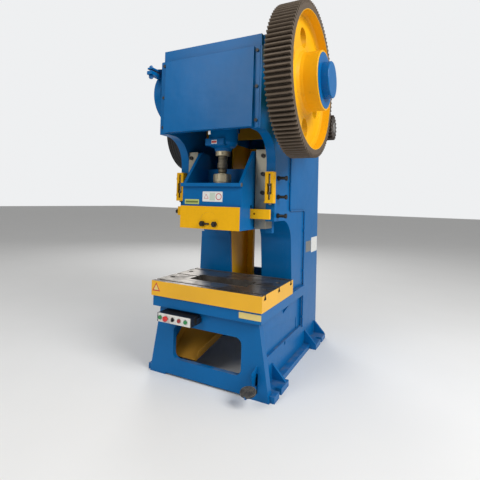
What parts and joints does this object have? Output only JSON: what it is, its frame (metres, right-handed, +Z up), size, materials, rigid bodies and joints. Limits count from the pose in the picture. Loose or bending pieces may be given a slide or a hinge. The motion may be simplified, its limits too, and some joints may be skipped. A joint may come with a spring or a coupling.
{
  "type": "open-back stamping press",
  "caption": "Open-back C-frame stamping press with an outboard crank gear, T-slotted bolster, guided slide, shank clamp, knock-out bar and foot treadle.",
  "frame": {"origin": "on the floor, at the centre of the four anchor slots", "axes": "+X to the operator's right, towards the gear; +Y to the rear; +Z up, against the ram's stroke"},
  "size_m": [1.552, 2.097, 2.635],
  "materials": {
    "blue_paint": "gloss",
    "yellow_paint": "gloss",
    "gear_paint": "worn gloss",
    "motor_paint": "satin",
    "ground_iron": "oiled",
    "machined_iron": "machined",
    "black_iron": "oiled",
    "bright_steel": "machined",
    "black_steel": "blackened",
    "bronze": "machined",
    "belt_rubber": "matte",
    "black_plastic": "matte",
    "green_plastic": "gloss",
    "red_plastic": "gloss",
    "box_steel": "satin"
  },
  "bodies": {
    "frame": {"left_cheek": "blue_paint", "right_cheek": "blue_paint", "front_leg_plate": "blue_paint", "bed_plate": "blue_paint", "left_foot_rail": "blue_paint", "right_foot_rail": "blue_paint", "rear_sill_plate": "blue_paint", "rear_head_plate": "blue_paint", "head_top_plate": "blue_paint", "head_front_beam": "blue_paint", "crank_box_web": "yellow_paint", "throat_plates": "blue_paint", "column_channels": "yellow_paint", "bolster": "machined_iron", "bolster_screws": "black_steel", "left_gib": "ground_iron", "right_gib": "ground_iron", "gib_screws": "black_steel", "gib_adjusters": "black_steel", "left_knockout_bracket": "yellow_paint", "right_knockout_bracket": "yellow_paint", "knockout_stop_screws": "bright_steel", "front_cover": "blue_paint", "cover_screws": "black_steel", "crank_bushes": "bronze", "shaft_bushes": "bronze", "brake_band": "blue_paint", "brake_tension_bolt": "blue_paint", "motor_bracket": "blue_paint", "motor_body": "motor_paint", "v_belts": "belt_rubber", "scrap_chute": "yellow_paint", "control_box": "box_steel", "conduit_pipe": "blue_paint"},
    "gear": {"main_gear": "gear_paint", "gear_bush": "bronze", "hub_cover_ring": "blue_paint", "end_cap": "blue_paint"},
    "back_shaft": {"countershaft": "bright_steel", "pinion": "black_iron", "flywheel": "black_iron"},
    "motor_shaft": {"motor_pulley": "black_iron"},
    "crank": {"crankshaft": "bright_steel", "brake_drum": "blue_paint"},
    "rod": {"connecting_rod": "blue_paint", "rod_cap": "blue_paint", "rod_bolts": "black_steel", "ball_screw": "bright_steel", "lock_nut": "bright_steel", "ball_seat_nut": "bright_steel"},
    "slide": {"slide_block": "blue_paint", "shank_clamp": "yellow_paint", "clamp_nuts": "bright_steel"},
    "knockout": {"knockout_bar": "yellow_paint"},
    "treadle_lever": {"treadle": "black_steel"},
    "start_press": {"start_button": "green_plastic"},
    "stop_press": {"stop_mushroom": "red_plastic"},
    "selector_knob": {"mode_selector": "black_plastic"},
    "inch_press": {"inch_button": "red_plastic"},
    "motor_press": {"motor_button": "green_plastic"}
  },
  "joints": [
    {"name": "gear_spin", "type": "hinge", "parent": "frame", "child": "gear", "pos_m": [0, -0.49, 2.125], "axis": [-1, 0, 0], "continuous": true},
    {"name": "back_shaft_spin", "type": "hinge", "parent": "frame", "child": "back_shaft", "pos_m": [0, 0.06264, 1.91838], "axis": [-1, 0, 0], "continuous": true},
    {"name": "motor_spin", "type": "hinge", "parent": "frame", "child": "motor_shaft", "pos_m": [0, 0.965, 1.482], "axis": [-1, 0, 0], "continuous": true},
    {"name": "crank_turn", "type": "hinge", "parent": "frame", "child": "crank", "pos_m": [0, -0.49, 2.125], "axis": [-1, 0, 0], "range_deg": [0, 180]},
    {"name": "rod_pivot", "type": "hinge", "parent": "crank", "child": "rod", "pos_m": [0, -0.49, 2.19], "axis": [1, 0, 0], "range_deg": [0, 180]},
    {"name": "slide_stroke", "type": "slide", "parent": "frame", "child": "slide", "axis": [0, 0, -1], "range_m": [0, 0.13]},
    {"name": "knockout_lift", "type": "slide", "parent": "slide", "child": "knockout", "axis": [0, 0, 1], "range_m": [0, 0.026]},
    {"name": "treadle_press", "type": "hinge", "parent": "frame", "child": "treadle_lever", "pos_m": [0.393, -0.48, 0.19], "axis": [1, 0, 0], "range_deg": [0, 5.5], "stiffness_Nm_per_rad": 30, "springref_deg": -22.92},
    {"name": "start_push", "type": "slide", "parent": "frame", "child": "start_press", "axis": [0, 1, 0], "range_m": [0, 0.005], "stiffness_N_per_m": 300, "springref_m": -0.004},
    {"name": "stop_push", "type": "slide", "parent": "frame", "child": "stop_press", "axis": [0, 1, 0], "range_m": [0, 0.005], "stiffness_N_per_m": 300, "springref_m": -0.004},
    {"name": "selector_turn", "type": "hinge", "parent": "frame", "child": "selector_knob", "pos_m": [-0.209, -0.78, 0.459], "axis": [0, 1, 0], "range_deg": [-45, 45]},
    {"name": "inch_push", "type": "slide", "parent": "frame", "child": "inch_press", "axis": [0, 1, 0], "range_m": [0, 0.005], "stiffness_N_per_m": 300, "springref_m": -0.004},
    {"name": "motor_push", "type": "slide", "parent": "frame", "child": "motor_press", "axis": [0, 1, 0], "range_m": [0, 0.005], "stiffness_N_per_m": 300, "springref_m": -0.004}
  ],
  "couplings": [
    {"joint": "back_shaft_spin", "follows": "gear_spin", "ratio": -5.5556},
    {"joint": "motor_spin", "follows": "gear_spin", "ratio": -22.326},
    {"joint": "rod_pivot", "follows": "crank_turn", "ratio": 1},
    {"joint": "slide_stroke", "follows": "crank_turn", "m_per_rad": 0.04138}
  ]
}
